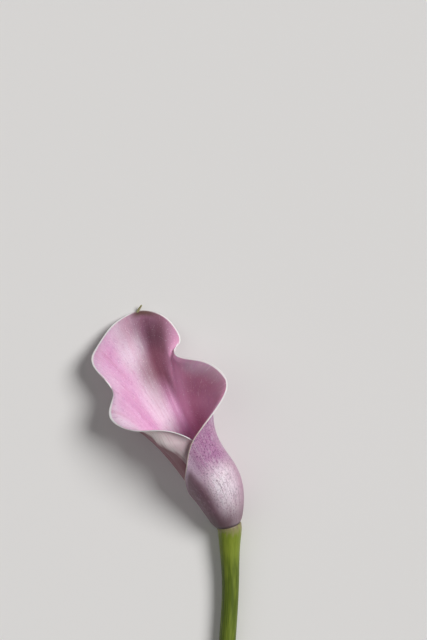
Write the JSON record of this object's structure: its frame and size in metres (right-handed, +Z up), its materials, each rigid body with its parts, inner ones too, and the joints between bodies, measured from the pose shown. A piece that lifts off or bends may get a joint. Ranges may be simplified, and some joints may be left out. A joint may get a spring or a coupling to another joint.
{
  "type": "calla lily flower",
  "caption": "Cut calla lily lying on its back: a rolled pink spathe with a wavy margin round a yellow spadix, on a smooth green stem.",
  "frame": {"origin": "middle of the bounding box at the height of the surface that the flower lies on", "axes": "+Y along the stem towards the flower's tip, +X to the right seen from above, +Z up out of the flower's open mouth"},
  "size_m": [0.074, 0.2786, 0.0367],
  "materials": {
    "spathe": "soft satin leaf, lilac pink with fine veins and a pale margin",
    "stem": "smooth waxy green with faint lengthwise ribs",
    "spadix": "matt yellow, covered in small florets"
  },
  "bodies": {
    "root": {"stem": "stem", "spathe": "spathe", "spadix": "spadix"}
  },
  "joints": []
}
